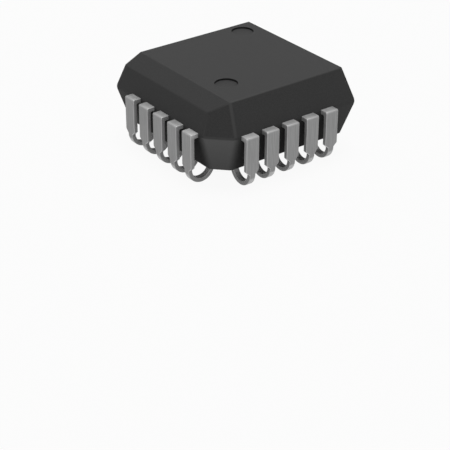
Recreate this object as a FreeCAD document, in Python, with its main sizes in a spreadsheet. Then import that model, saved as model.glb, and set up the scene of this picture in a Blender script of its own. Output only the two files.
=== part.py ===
import FreeCAD, Part
import math
import os

import Sketcher

# Plastic leaded chip carrier with 20 J-leads, in millimetres.
# The origin is the centre of the seating plane, +Z is up, and the bevelled pin-1 side faces -Y.
# Pin 1 is the middle lead of that side, and the count runs counter-clockwise seen from above.

doc = FreeCAD.newDocument("chip_carrier")

# Driving dimensions

DIMENSIONS = {
    "pitch": (1.27, "distance between neighbouring leads"),
    "body_width": (8.93, "body across the parting plane, both ways"),
    "body_top": (4.57, "top face above the seating plane"),
    "parting_height": (2.75, "parting plane above the seating plane"),
    "top_inset": (0.55, "how far each side leans in from the parting plane to the top face"),
    "bottom_inset": (0.51, "how far each side leans in from the parting plane to the bottom face"),
    "pin_chamfer": (1.21, "leg of the pin-1 corner cut at the parting plane"),
    "pin_chamfer_top": (0.64, "leg of the pin-1 corner cut at the top face"),
    "pin_chamfer_bottom": (0.73, "leg of the pin-1 corner cut at the bottom face"),
    "bevel_run": (0.69, "width of the pin-1 side's bevel over the top face"),
    "bevel_drop": (0.55, "height of the pin-1 side's bevel"),
    "edge_round": (0.06, "rounding of the body's other edges above and below the parting plane"),
    "lower_round": (0.5, "rounding of the two lower edges beside the pin-1 corner cut"),
    "mark_diameter": (1.19, "diameter of each round ejector recess"),
    "mark_depth": (0.1, "depth of each round ejector recess"),
    "mark_near_x": (1.96, "recess beside the pin-1 corner, centre"),
    "mark_near_y": (2.0, "recess beside the pin-1 corner, centre"),
    "mark_far_x": (3.0, "recess beside the opposite corner, centre"),
    "mark_far_y": (2.8, "recess beside the opposite corner, centre"),
    "lead_span": (9.78, "over the outer faces of opposite leads"),
    "lead_thickness": (0.23, "lead strip"),
    "shoulder_width": (0.77, "lead where it leaves the body"),
    "foot_width": (0.35, "lead along its J hook"),
    "taper_height": (0.21, "height over which the lead narrows"),
    "hook_radius": (0.81, "outer radius of the J hook"),
    "bend_radius": (0.08, "outer radius of the coined bend at the shoulder"),
    "tip_clearance": (0.03, "gap between the J tip and the underside of the body"),
    "lead_anchor": (0.45, "straight length of the lead inside the body"),
    "finger_width": (0.34, "inner end of the lead, where its wire lands"),
    "finger_pitch": (0.62, "distance between neighbouring inner ends"),
    "paddle_width": (3.1, "die paddle, both ways"),
    "paddle_gap": (0.35, "gap between the paddle and the leads' inner ends"),
    "paddle_downset": (0.3, "how far the paddle lies below the leads"),
    "tie_width": (0.3, "tie bars that carry the paddle"),
    "tie_cover": (0.35, "moulding left outside the end of each tie bar"),
    "bond_line": (0.03, "thickness of the die attach adhesive"),
    "die_width": (2.0, "silicon die, both ways"),
    "die_thickness": (0.29, "silicon die"),
    "fillet_margin": (0.08, "adhesive that shows around the die"),
    "wire_diameter": (0.032, "gold bond wire"),
    "bond_pad_inset": (0.13, "bond pads' centres in from the die's edge"),
    "bond_pad_pitch": (0.34, "distance between neighbouring bond pads"),
    "loop_height": (0.2, "rise of the bond wire over the die"),
    "loop_crest": (0.15, "level run at the top of the bond wire's loop"),
    "stitch_inset": (0.16, "landing of the wire in from the lead's inner end"),
}

LEADS_PER_SIDE = 5
SIDES = 4
DIAGONAL = math.sqrt(2)

# A cut is this many times as deep as what it goes through, half of it on each side
THROUGH = 2

# Edges nearer to a level than this lie on it
LEVEL_MARGIN = 0.05

sheet = doc.addObject("Spreadsheet::Sheet", "Dimensions")
for row, (alias, (number, note)) in enumerate(DIMENSIONS.items(), start=1):
    sheet.set(f"A{row}", note)
    sheet.set(f"B{row}", str(number))
    sheet.setAlias(f"B{row}", alias)
doc.recompute()


class Size:
    """A length that carries its value and the sheet expression it comes from."""

    def __init__(self, value, text):
        self.value = value
        self.text = text

    def join(self, other, sign, value):
        other_text = other.text if isinstance(other, Size) else str(other)
        return Size(value, f"({self.text} {sign} {other_text})")

    def __add__(self, other):
        return self.join(other, "+", self.value + amount(other))

    def __sub__(self, other):
        return self.join(other, "-", self.value - amount(other))

    def __mul__(self, other):
        return self.join(other, "*", self.value * amount(other))

    def __truediv__(self, other):
        return self.join(other, "/", self.value / amount(other))

    def __neg__(self):
        return Size(-self.value, f"(-1 * {self.text})")


def amount(size):
    return size.value if isinstance(size, Size) else size


def cell(alias):
    return Size(DIMENSIONS[alias][0], f"<<Dimensions>>.{alias}")


half_body = cell("body_width") / 2
half_top = half_body - cell("top_inset")
half_bottom = half_body - cell("bottom_inset")
body_bottom = cell("hook_radius") + cell("tip_clearance")
half_leads = cell("lead_span") / 2
lead_top = cell("parting_height") + cell("lead_thickness") / 2
lead_bottom = cell("parting_height") - cell("lead_thickness") / 2
anchor_end = half_body - cell("lead_anchor")
finger_end = cell("paddle_width") / 2 + cell("paddle_gap")
paddle_bottom = lead_bottom - cell("paddle_downset")
paddle_top = lead_top - cell("paddle_downset")
die_bottom = paddle_top + cell("bond_line")
die_top = die_bottom + cell("die_thickness")


def bind(item, property_name, size):
    """Sets a property to a size, and keeps it on the sheet where the size comes from it."""
    if isinstance(size, Size):
        item.setExpression(property_name, size.text)


def new_body(name):
    body = doc.addObject("PartDesign::Body", name)
    body.Label = name
    return body


def new_sketch(body, name, role, height=None, turn=0):
    """A sketch on one of the body's origin planes, raised by height along that plane's normal."""
    sketch = body.newObject("Sketcher::SketchObject", name)
    plane = next(item for item in body.Origin.OriginFeatures if item.Role == role)
    sketch.AttachmentSupport = [(plane, "")]
    sketch.MapMode = "FlatFace"
    turned = FreeCAD.Rotation(FreeCAD.Vector(0, 1, 0), turn)
    sketch.AttachmentOffset = FreeCAD.Placement(FreeCAD.Vector(0, 0, amount(height or 0)), turned)
    if height is not None:
        bind(sketch, "AttachmentOffset.Base.z", height)
    return sketch


def constrain(sketch, kind, *values):
    """Adds a constraint, bound to the sheet when its last value is a size."""
    size = values[-1]
    index = sketch.addConstraint(Sketcher.Constraint(kind, *values[:-1], amount(size)))
    bind(sketch, f"Constraints[{index}]", size)


def place_point(sketch, edge, end, point):
    """Fixes an edge's end or centre at a point measured from the sketch's origin."""
    for axis, kind, size in ((-2, "DistanceX", point[0]), (-1, "DistanceY", point[1])):
        if amount(size) == 0:
            sketch.addConstraint(Sketcher.Constraint("PointOnObject", edge, end, axis))
        else:
            constrain(sketch, kind, -1, 1, edge, end, size)


def vector(point):
    return FreeCAD.Vector(amount(point[0]), amount(point[1]), 0)


def draw_polygon(sketch, points):
    """A closed outline of straight edges through the points."""
    first = sketch.GeometryCount
    count = len(points)
    for index in range(count):
        here, there = points[index], points[(index + 1) % count]
        sketch.addGeometry(Part.LineSegment(vector(here), vector(there)), False)
    for index in range(count):
        edge, following = first + index, first + (index + 1) % count
        sketch.addConstraint(Sketcher.Constraint("Coincident", edge, 2, following, 1))
    for index, point in enumerate(points):
        place_point(sketch, first + index, 1, point)


def draw_path(sketch, points):
    """An open chain of straight edges through the points."""
    first = sketch.GeometryCount
    for here, there in zip(points, points[1:]):
        sketch.addGeometry(Part.LineSegment(vector(here), vector(there)), False)
    for edge in range(first, sketch.GeometryCount - 1):
        sketch.addConstraint(Sketcher.Constraint("Coincident", edge, 2, edge + 1, 1))
    for index, point in enumerate(points[:-1]):
        place_point(sketch, first + index, 1, point)
    place_point(sketch, sketch.GeometryCount - 1, 2, points[-1])


def draw_square(sketch, width):
    half = width / 2
    draw_polygon(sketch, [(-half, -half), (half, -half), (half, half), (-half, half)])


def draw_circle(sketch, centre, diameter):
    circle = Part.Circle(vector(centre), FreeCAD.Vector(0, 0, 1), amount(diameter) / 2)
    edge = sketch.addGeometry(circle, False)
    constrain(sketch, "Diameter", edge, diameter)
    place_point(sketch, edge, 3, centre)


def add_feature(body, kind, name, profile):
    feature = body.newObject(kind, name)
    feature.Profile = profile
    return feature


def add_pad(body, name, sketch, length, symmetric=False):
    pad = add_feature(body, "PartDesign::Pad", name, sketch)
    pad.Length = amount(length)
    pad.Midplane = symmetric
    bind(pad, "Length", length)
    return pad


def add_cut(body, name, sketch, depth, symmetric=False):
    pocket = add_feature(body, "PartDesign::Pocket", name, sketch)
    pocket.Length = amount(depth)
    pocket.Midplane = symmetric
    bind(pocket, "Length", depth)
    return pocket


# Moulded body: two tapered halves that meet at the parting plane


def slope_angle(run, rise):
    """The angle from the vertical of a face that moves in by run over a height of rise."""
    degrees = math.degrees(math.atan(amount(run) / amount(rise)))
    return Size(degrees, f"atan({run.text} / {rise.text})")


def add_tapered_half(body, name, sketch, height, inset, downward):
    pad = add_pad(body, name, sketch, height)
    pad.Reversed = downward
    angle = slope_angle(inset, height)
    pad.TaperAngle = -angle.value
    bind(pad, "TaperAngle", -angle)
    return pad


def diagonal_reach(half, leg):
    """Distance from the axis to a corner cut, along the body's diagonal."""
    return (half * 2 - leg) / DIAGONAL


def cut_pin_corner(body):
    """Cuts the pin-1 corner off all the way down, to legs set at the bottom, parting and top levels."""
    profile = new_sketch(body, "pin_corner_profile", "XZ_Plane", turn=-45)
    low, middle, high = body_bottom, cell("parting_height"), cell("body_top")
    margin = cell("top_inset")
    outside = half_body * 2
    reach_low = diagonal_reach(half_bottom, cell("pin_chamfer_bottom"))
    reach_middle = diagonal_reach(half_body, cell("pin_chamfer"))
    reach_high = diagonal_reach(half_top, cell("pin_chamfer_top"))
    draw_polygon(
        profile,
        [
            (reach_low, low - margin),
            (reach_low, low),
            (reach_middle, middle),
            (reach_high, high),
            (reach_high, high + margin),
            (outside, high + margin),
            (outside, low - margin),
        ],
    )
    add_cut(body, "pin_corner_cut", profile, cell("body_width") * THROUGH, symmetric=True)


def edges_where(shape, test):
    """Names of a shape's edges whose middle point passes the test."""
    names = []
    for index, edge in enumerate(shape.Edges, start=1):
        if test(edge.CenterOfMass):
            names.append(f"Edge{index}")
    return names


def round_edges(body, name, radius, test):
    doc.recompute()
    base = body.Tip
    fillet = body.newObject("PartDesign::Fillet", name)
    fillet.Base = (base, edges_where(base.Shape, test))
    fillet.Radius = amount(radius)
    bind(fillet, "Radius", radius)
    return fillet


def make_blank():
    """The body's outer form, before the metal inside it is taken out."""
    body = new_body("body_blank")
    square = new_sketch(body, "parting_outline", "XY_Plane", cell("parting_height"))
    draw_square(square, cell("body_width"))
    rise = cell("body_top") - cell("parting_height")
    fall = cell("parting_height") - body_bottom
    add_tapered_half(body, "upper_half", square, rise, cell("top_inset"), False)
    add_tapered_half(body, "lower_half", square, fall, cell("bottom_inset"), True)

    cut_pin_corner(body)

    # The bevel's plane runs from the top face out past the pin-1 side, clear of the body
    profile = new_sketch(body, "bevel_profile", "YZ_Plane")
    run, drop = cell("bevel_run"), cell("bevel_drop")
    spread = run + cell("top_inset") * drop / rise
    draw_polygon(
        profile,
        [
            (run - half_top, cell("body_top")),
            (run - half_top, cell("body_top") + drop),
            (run - half_top - spread * 2, cell("body_top") + drop),
            (run - half_top - spread * 2, cell("body_top") - drop * 2),
        ],
    )
    add_cut(body, "pin_side_bevel", profile, cell("body_width") * THROUGH, symmetric=True)

    parting = cell("parting_height").value
    bottom = body_bottom.value

    def above_parting(middle):
        return middle.z > parting + LEVEL_MARGIN

    def below_parting(middle):
        return bottom + LEVEL_MARGIN < middle.z < parting - LEVEL_MARGIN

    def beside_pin_cut(middle):
        return below_parting(middle) and middle.x > 0 and middle.y < 0

    def at_other_corner(middle):
        return below_parting(middle) and not (middle.x > 0 and middle.y < 0)

    def at_bottom(middle):
        return middle.z < bottom + LEVEL_MARGIN

    round_edges(body, "upper_edge_rounds", cell("edge_round"), above_parting)
    round_edges(body, "pin_corner_rounds", cell("lower_round"), beside_pin_cut)
    round_edges(
        body,
        "lower_edge_rounds",
        cell("edge_round"),
        lambda middle: at_bottom(middle) or at_other_corner(middle),
    )

    near = (cell("mark_near_x"), -cell("mark_near_y"))
    far = (-cell("mark_far_x"), cell("mark_far_y"))
    for name, centre in (("near_recess", near), ("far_recess", far)):
        circle = new_sketch(body, name + "_circle", "XY_Plane", cell("body_top"))
        draw_circle(circle, centre, cell("mark_diameter"))
        add_cut(body, name, circle, cell("mark_depth"))
    return body


# Leads: a tab out of the body, a shoulder that narrows, and a J hook curled in under the body


def draw_arc(sketch, centre, radius, start, end):
    """An arc that turns counter-clockwise from start to end, both in degrees and along the axes."""
    circle = Part.Circle(vector(centre), FreeCAD.Vector(0, 0, 1), amount(radius))
    arc = Part.ArcOfCircle(circle, math.radians(start), math.radians(end))
    edge = sketch.addGeometry(arc, False)
    place_point(sketch, edge, 3, centre)
    constrain(sketch, "Radius", edge, radius)
    for end_point, degrees in ((1, start), (2, end)):
        kind = "Horizontal" if degrees % 180 == 0 else "Vertical"
        sketch.addConstraint(Sketcher.Constraint(kind, edge, end_point, edge, 3))
    return edge


def draw_line(sketch, start, end):
    return sketch.addGeometry(Part.LineSegment(vector(start), vector(end)), False)


def join_ends(sketch, pairs):
    for first, first_end, second, second_end in pairs:
        sketch.addConstraint(Sketcher.Constraint("Coincident", first, first_end, second, second_end))


def draw_lead_profile(sketch):
    """The strip seen along the side of the body, with x outwards and y up: coined square at the
    shoulder, with a small outer radius, and rolled into a half circle at the foot."""
    thick = cell("lead_thickness")
    bend, hook = cell("bend_radius"), cell("hook_radius")
    bend_centre = (half_leads - bend, lead_top - bend)
    hook_centre = (half_leads - hook, hook)
    inner_face = half_leads - thick
    tip = half_leads - hook * 2

    outer_bend = draw_arc(sketch, bend_centre, bend, 0, 90)
    outer_hook = draw_arc(sketch, hook_centre, hook, 180, 360)
    inner_hook = draw_arc(sketch, hook_centre, hook - thick, 180, 360)
    top = draw_line(sketch, (anchor_end, lead_top), (bend_centre[0], lead_top))
    outside = draw_line(sketch, (half_leads, bend_centre[1]), (half_leads, hook))
    end = draw_line(sketch, (tip, hook), (tip + thick, hook))
    inside = draw_line(sketch, (inner_face, hook), (inner_face, lead_bottom))
    underside = draw_line(sketch, (inner_face, lead_bottom), (anchor_end, lead_bottom))
    back = draw_line(sketch, (anchor_end, lead_bottom), (anchor_end, lead_top))
    join_ends(
        sketch,
        [
            (top, 2, outer_bend, 2),
            (outside, 1, outer_bend, 1),
            (outside, 2, outer_hook, 2),
            (end, 1, outer_hook, 1),
            (end, 2, inner_hook, 1),
            (inside, 1, inner_hook, 2),
            (inside, 2, underside, 1),
            (underside, 2, back, 1),
            (back, 2, top, 1),
        ],
    )
    sketch.addConstraint(Sketcher.Constraint("Horizontal", top))
    sketch.addConstraint(Sketcher.Constraint("Vertical", back))
    place_point(sketch, inside, 2, (inner_face, lead_bottom))
    place_point(sketch, back, 1, (anchor_end, lead_bottom))


def draw_taper_waste(sketch, side):
    """What is cut off one edge of the strip below the shoulder, with x along the body and y up."""
    shoulder, foot = cell("shoulder_width") / 2, cell("foot_width") / 2
    hook, taper = cell("hook_radius"), cell("taper_height")
    outer = cell("shoulder_width")
    points = [
        (foot, -hook),
        (foot, hook),
        (shoulder, hook + taper),
        (outer, hook + taper),
        (outer, -hook),
    ]
    draw_polygon(sketch, [(x if side > 0 else -x, y) for x, y in points])


def turn_to_side(side, offset):
    """Where something at an offset along the +X side lands on a side, counted counter-clockwise."""
    angle = math.radians(90 * side)
    return (-round(math.sin(angle)) * offset, round(math.cos(angle)) * offset)


def set_place(item, base, angle=0):
    """Turns an item about Z and moves it, with its place kept on the sheet."""
    values = FreeCAD.Vector(*[amount(size) for size in base])
    item.Placement = FreeCAD.Placement(values, FreeCAD.Rotation(FreeCAD.Vector(0, 0, 1), angle))
    for axis, size in zip("xyz", base):
        bind(item, f"Placement.Base.{axis}", size)


def make_lead(number, side, position):
    """One lead. It is built at the middle of the +X side, then moved to its own place."""
    body = new_body(f"lead_{number:02d}")
    profile = new_sketch(body, f"lead_{number:02d}_profile", "XZ_Plane")
    draw_lead_profile(profile)
    add_pad(body, f"lead_{number:02d}_strip", profile, cell("shoulder_width"), symmetric=True)
    for edge in (-1, 1):
        name = f"lead_{number:02d}_taper_{'left' if edge > 0 else 'right'}"
        waste = new_sketch(body, name + "_waste", "YZ_Plane")
        draw_taper_waste(waste, edge)
        add_cut(body, name, waste, cell("lead_span") * THROUGH, symmetric=True)

    # The finger fans in from the straight anchor to the gap around the die paddle
    shift = (cell("finger_pitch") - cell("pitch")) * position
    shoulder, tip = cell("shoulder_width") / 2, cell("finger_width") / 2
    fan = new_sketch(body, f"lead_{number:02d}_fan", "XY_Plane", lead_bottom)
    draw_polygon(
        fan,
        [
            (anchor_end, -shoulder),
            (anchor_end, shoulder),
            (finger_end, shift + tip),
            (finger_end, shift - tip),
        ],
    )
    add_pad(body, f"lead_{number:02d}_finger", fan, cell("lead_thickness"))
    x, y = turn_to_side(side, position)
    set_place(body, (cell("pitch") * x, cell("pitch") * y, 0), 90 * side)
    return body


# Die paddle with its four tie bars, die attach adhesive and silicon die


def make_plate(name, width, bottom, thickness):
    body = new_body(name)
    sketch = new_sketch(body, name + "_outline", "XY_Plane", bottom)
    draw_square(sketch, width)
    add_pad(body, name + "_plate", sketch, thickness)
    return body


def make_paddle():
    """The paddle hangs below the leads on four stepped bars that run to the body's corners."""
    thick, step = cell("lead_thickness"), cell("paddle_downset")
    body = make_plate("die_paddle", cell("paddle_width"), paddle_bottom, thick)
    corner = cell("paddle_width") / DIAGONAL
    root = corner - cell("tie_width")
    low = corner + cell("tie_width") / 2
    high = low + step
    end = diagonal_reach(half_body, cell("pin_chamfer")) - cell("tie_cover")
    profile = new_sketch(body, "tie_bar_profile", "XZ_Plane", turn=45)
    draw_polygon(
        profile,
        [
            (root, paddle_bottom),
            (low, paddle_bottom),
            (high, lead_bottom),
            (end, lead_bottom),
            (end, lead_top),
            (high, lead_top),
            (low, paddle_top),
            (root, paddle_top),
        ],
    )
    bar = add_pad(body, "tie_bar", profile, cell("tie_width"), symmetric=True)
    ring = body.newObject("PartDesign::PolarPattern", "tie_bars")
    ring.Originals = [bar]
    vertical = next(item for item in body.Origin.OriginFeatures if item.Role == "Z_Axis")
    ring.Axis = (vertical, [""])
    ring.Angle = 360
    ring.Occurrences = SIDES
    body.Tip = ring
    return body


# Bond wires: one from each bond pad on the die to the inner end of its lead


def draw_hexagon(sketch, diameter):
    """A hexagon around the origin, with two corners on the sketch's x axis."""
    reach = diameter / 2
    half, height = reach / 2, reach * math.sqrt(3) / 2
    draw_polygon(
        sketch,
        [(reach, 0), (half, height), (-half, height), (-reach, 0), (-half, -height), (half, -height)],
    )


def make_wire(number, side, position):
    """A bond wire: up from its bond pad, over a short crest, and straight down to its lead."""
    pad_x = cell("die_width") / 2 - cell("bond_pad_inset")
    pad_y = cell("bond_pad_pitch") * position
    reach_x = finger_end + cell("stitch_inset") - pad_x
    reach_y = cell("finger_pitch") * position - pad_y
    reach = Size(
        math.hypot(reach_x.value, reach_y.value),
        f"sqrt({reach_x.text} ^ 2 + {reach_y.text} ^ 2)",
    )
    heading = Size(
        math.degrees(math.atan2(reach_y.value, reach_x.value)) + 90 * side,
        f"atan({reach_y.text} / {reach_x.text}) + {90 * side} deg",
    )
    landing = lead_top - die_top
    height = cell("loop_height")

    name = f"bond_wire_{number:02d}"
    body = new_body(name)
    path = new_sketch(body, name + "_path", "XZ_Plane")
    draw_path(path, [(0, 0), (0, height), (cell("loop_crest"), height), (reach, landing)])
    section = new_sketch(body, name + "_section", "XY_Plane")
    draw_hexagon(section, cell("wire_diameter"))
    pipe = add_feature(body, "PartDesign::AdditivePipe", name + "_loop", section)
    pipe.Spine = path
    pipe.Transition = "Right corner"

    # The end is cut flush with the top of the lead that it is bonded to
    waste = new_sketch(body, name + "_stitch_waste", "XZ_Plane")
    draw_polygon(
        waste,
        [
            (reach / 2, landing - height),
            (reach + height, landing - height),
            (reach + height, landing),
            (reach / 2, landing),
        ],
    )
    add_cut(body, name + "_stitch", waste, cell("wire_diameter") * THROUGH, symmetric=True)

    x, y = turn_to_side(side, 1)
    base = (pad_x * y + pad_y * x, pad_y * y - pad_x * x, die_top)
    set_place(body, base, heading.value)
    bind(body, "Placement.Rotation.Angle", heading)
    return body


# Assembly: pin 1 is in the middle of the -Y side, and the sides follow counter-clockwise


def lead_places():
    """Number, side and position of each lead. Side 0 faces +X, and position 0 is a side's middle."""
    middle = LEADS_PER_SIDE // 2
    count = LEADS_PER_SIDE * SIDES
    places = []
    for number in range(1, count + 1):
        step = number - 1 + middle
        side = (step // LEADS_PER_SIDE + SIDES - 1) % SIDES
        places.append((number, side, step % LEADS_PER_SIDE - middle))
    return places


blank = make_blank()
leads = [make_lead(*place) for place in lead_places()]
wires = [make_wire(*place) for place in lead_places()]
paddle = make_paddle()
adhesive = make_plate(
    "die_attach", cell("die_width") + cell("fillet_margin") * 2, paddle_top, cell("bond_line")
)
die = make_plate("silicon_die", cell("die_width"), die_bottom, cell("die_thickness"))
inner_pieces = leads + [paddle, adhesive, die] + wires

metal = doc.addObject("Part::MultiFuse", "everything_moulded_in")
metal.Shapes = inner_pieces
moulding = doc.addObject("Part::Cut", "moulded_body")
moulding.Label = "moulded_body"
moulding.Base = blank
moulding.Tool = metal
doc.recompute()

for item in doc.Objects:
    if any(word in item.State for word in ("Invalid", "Error")):
        raise RuntimeError(f"{item.Label} failed: {item.State}")

os.makedirs("parts", exist_ok=True)
for piece in [moulding] + inner_pieces:
    shape = piece.Shape
    if shape.isNull() or not shape.isValid() or len(shape.Solids) != 1:
        raise RuntimeError(f"{piece.Label} is not one sound solid")
    shape.exportStep(os.path.join("parts", piece.Label + ".step"))
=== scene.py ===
import math

import bmesh
import bpy
from mathutils import Euler, Matrix, Vector


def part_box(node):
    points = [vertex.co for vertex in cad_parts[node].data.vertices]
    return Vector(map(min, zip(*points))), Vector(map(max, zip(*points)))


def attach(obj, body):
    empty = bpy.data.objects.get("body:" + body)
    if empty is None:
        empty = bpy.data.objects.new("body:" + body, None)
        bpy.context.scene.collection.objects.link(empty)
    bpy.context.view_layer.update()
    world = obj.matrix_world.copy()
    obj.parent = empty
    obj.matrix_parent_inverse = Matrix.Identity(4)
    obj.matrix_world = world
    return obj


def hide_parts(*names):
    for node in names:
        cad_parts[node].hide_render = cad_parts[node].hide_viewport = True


bl_info = {
    "name": "J-lead chip carrier",
    "version": (1, 0, 0),
    "blender": (4, 5, 0),
    "location": "3D View > Sidebar > Chip carrier",
    "description": "Moulds, bends and finishes the pieces of a plastic leaded chip carrier",
    "category": "Object",
}

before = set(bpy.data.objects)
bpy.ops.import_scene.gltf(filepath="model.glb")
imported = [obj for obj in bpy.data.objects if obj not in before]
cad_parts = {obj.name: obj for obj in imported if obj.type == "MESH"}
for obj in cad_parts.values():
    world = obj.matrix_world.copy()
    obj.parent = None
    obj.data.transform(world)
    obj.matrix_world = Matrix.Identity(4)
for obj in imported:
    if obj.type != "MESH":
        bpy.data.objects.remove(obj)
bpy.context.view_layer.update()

# Pieces are shaped in millimetres and kept in metres, like the frame
MM = 0.001

SIDES = 4
LEADS_PER_SIDE = 5

# The leads on either side of the pin-1 cut
BESIDE_CUT = ("lead_03", "lead_04")

# Distance in millimetres below which two points are taken as one
NEAR = 1e-4

# Angles above which an edge is shaded sharp, and above which one is a corner of the lead strip
SHARP = math.radians(35)
CORNER = math.radians(60)

# How much of a face's normal lies along an axis when the face is taken to look that way
FACING = 0.5

# Turns in degrees from +X of the rounded faces between that side and the pin-1 cut
CUT_TURN_LOW = -43
CUT_TURN_HIGH = -2

# How many steps a rounding, a bend, a hook and a circle are made in
RIDGE_STEPS = 4
BEND_STEPS = 5
EDGE_STEPS = 3
HOOK_STEPS = 28
RECESS_STEPS = 64
FLOOR_STEPS = 96

# The edge attribute that the Bevel modifier reads
EDGE_SHARE = "bevel_weight_edge"

# The attributes that the materials read, all painted light: two marks on points (painted
# highlight, painted sheen), then two on faces (painted shade, painted glint)
HIGHLIGHT_MARK = "Wear"
SHEEN_MARK = "Scuff"
SHADE_MARK = "Grime"
GLINT_MARK = "Sheared"

# Roughness of each finish, from and to where it is grained
ROUGH_COMPOUND = (0.6, 0.75)
ROUGH_CUT_LIGHT = 0.7
ROUGH_RIDGE_HIGHLIGHT = 0.5
ROUGH_SHADE = 0.9
ROUGH_TIN = (0.58, 0.68)
ROUGH_SHEEN = 0.6
ROUGH_HIGHLIGHT = 0.4
ROUGH_GLINT = 0.3
ROUGH_TIN_SHADE = 0.7

# How far the compound shines, and how far the tin is bare metal
COMPOUND_SHINE = 0.13
TIN_METAL = 0.6

# Strength of the grains' bumps, and their height in millimetres
BUMP_STRENGTH = 0.3
COMPOUND_BUMP = 0.01
TIN_BUMP = 0.004

# On each hidden finish, how far it is bare metal and its middle roughness, and on all of them,
# how bright the dark grains are and how far the roughness varies each way
COPPER_SURFACE = (1.0, 0.35)
ADHESIVE_SURFACE = (0.2, 0.5)
SILICON_SURFACE = (0.3, 0.2)
GOLD_SURFACE = (1.0, 0.25)
HIDDEN_DARK = 0.8
HIDDEN_SPREAD = 0.05

# Grains along each metre of compound and of hidden metal, and streaks of tin across and along
# each millimetre of strip
COMPOUND_GRAINS = 16000.0
METAL_GRAINS = 4000.0
TIN_STREAKS = (14, 0.8, 1)

# The grain's noise, and the levels between which it turns from dark to light
NOISE_DETAIL = 3
NOISE_ROUGHNESS = 0.6
NOISE_DARK = 0.35
NOISE_LIGHT = 0.65

# Which of the Mix node's sockets are its two inputs and its output, for each kind of value
MIX_SOCKETS = {"RGBA": (6, 7, 2), "FLOAT": (2, 3, 0)}

# Where the painted light on the pin-1 cut's lower face begins and is full, as shares of the way
# out to the square corner, and how much of the parting ridge's rounding it ends within
CUT_LIGHT_START = 0.7
CUT_LIGHT_FULL = 0.75
CUT_LIGHT_SEAM = 0.25

# The nearest and the farthest that the camera sees, in millimetres
VIEW_NEAR = 1
VIEW_FAR = 10000

# Slant of the streaks on the strip's sides, and how far apart two leads' streaks are read
STREAK_SLANT = 0.02
STREAK_STRIDE = 7

body_low, body_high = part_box("moulded_body")
lead_low, lead_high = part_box("lead_06")


# Settings


def length(name, description, millimetres):
    return bpy.props.FloatProperty(
        name=name, description=description, default=millimetres * MM, unit="LENGTH", precision=5
    )


def measured(name, description, metres):
    return bpy.props.FloatProperty(
        name=name, description=description, default=metres, unit="LENGTH", precision=5
    )


def share(name, description, value):
    return bpy.props.FloatProperty(
        name=name, description=description, default=value, min=0, max=1, subtype="FACTOR"
    )


def colour(name, description, value):
    return bpy.props.FloatVectorProperty(
        name=name, description=description, default=value, min=0, max=1, size=4, subtype="COLOR"
    )


def angle(name, description, degrees):
    return bpy.props.FloatProperty(
        name=name, description=description, default=math.radians(degrees), subtype="ANGLE"
    )


def power(name, description, value):
    return bpy.props.FloatProperty(name=name, description=description, default=value, min=0)


def place(name, description, millimetres):
    return bpy.props.FloatVectorProperty(
        name=name,
        description=description,
        default=[value * MM for value in millimetres],
        size=3,
        subtype="TRANSLATION",
        unit="LENGTH",
    )


class BodySettings(bpy.types.PropertyGroup):
    width: measured("Width", "Body across the parting plane", body_high.x - body_low.x)
    top: measured("Top", "Top face above the seating plane", body_high.z)
    bottom: measured("Bottom", "Underside above the seating plane", body_low.z)
    parting: length("Parting plane", "Parting plane above the seating plane", 2.75)
    top_inset: length("Top inset", "How far each side leans in up to the top face", 0.55)
    bottom_inset: length("Bottom inset", "How far each side leans in down to the underside", 0.51)
    pin_cut: length("Pin-1 cut", "Leg of the pin-1 corner cut at the parting plane", 1.21)
    pin_cut_top: length("Pin-1 cut, top", "Leg of the pin-1 corner cut at the top", 0.7)
    pin_cut_bottom: length("Pin-1 cut, bottom", "Leg of the pin-1 corner cut at the bottom", 0.73)
    bevel_run: length("Bevel run", "Width of the pin-1 side's bevel over the top face", 0.7)
    bevel_drop: length("Bevel drop", "Height of the pin-1 side's bevel", 0.55)
    ridge_round: length("Ridge rounding", "Setback of the rounding along plain ridges", 0.06)
    parting_round: length("Parting rounding", "Setback of the parting ridge's rounding", 0.14)
    upper_cut_round: length("Upper cut rounding", "Setback above, beside the pin-1 cut", 0.11)
    lower_cut_round: length("Lower cut rounding", "Setback below, beside the pin-1 cut", 0.2)
    rim_round: length("Rim rounding", "Setback of the rounding round each recess", 0.02)
    recess_width: length("Recess width", "Diameter of each round ejector recess", 1.19)
    recess_depth: length("Recess depth", "Depth of each round ejector recess", 0.1)
    recess_draft: length("Recess draft", "How far a recess's wall leans in", 0.0125)
    near_recess: place("Near recess", "Centre of the recess by the pin-1 corner", (1.96, -2.0, 0))
    far_recess: place("Far recess", "Centre of the recess by the far corner", (-3.0, 2.8, 0))
    compound: colour("Compound", "Moulding compound", (0.034, 0.034, 0.034, 1))
    compound_light: colour("Compound, light", "Paler grains", (0.044, 0.044, 0.044, 1))
    # Painted highlights on the upper ridges and on the parting ridge over the pin-1 cut, and their
    # colour
    ridge_wear: share("Ridge wear", "How far the body's upper ridges are rubbed", 0.2)
    parting_wear: share("Parting wear", "How far the parting ridge over the gate is rubbed", 0.8)
    ridge_highlight_colour: colour("Worn ridge", "Rubbed ridges of the body", (0.052, 0.052, 0.052, 1))
    # Painted shade in the recesses and behind the rows of leads, and where it reaches
    painted_shade: colour("Grime", "Dirt in the recesses and behind the leads", (0.008, 0.008, 0.008, 1))
    dirt: share("Dirt", "How far dirt covers the body behind the leads", 0.5)
    shaded_row: length("Dirty row", "Length of the dirty stretch behind each row of leads", 5.9)
    shade_edge: length("Dirt edge", "Width over which the dirt fades out", 0.15)
    # Painted light on the lower face of the pin-1 cut, and what is left of it at the underside
    cut_painted_light: colour("Gate scar", "Compound where it entered the mould", (0.102, 0.102, 0.102, 1))
    cut_light_fade: share("Gate fade", "What is left of the gate scar at the underside", 0.6)


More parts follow.
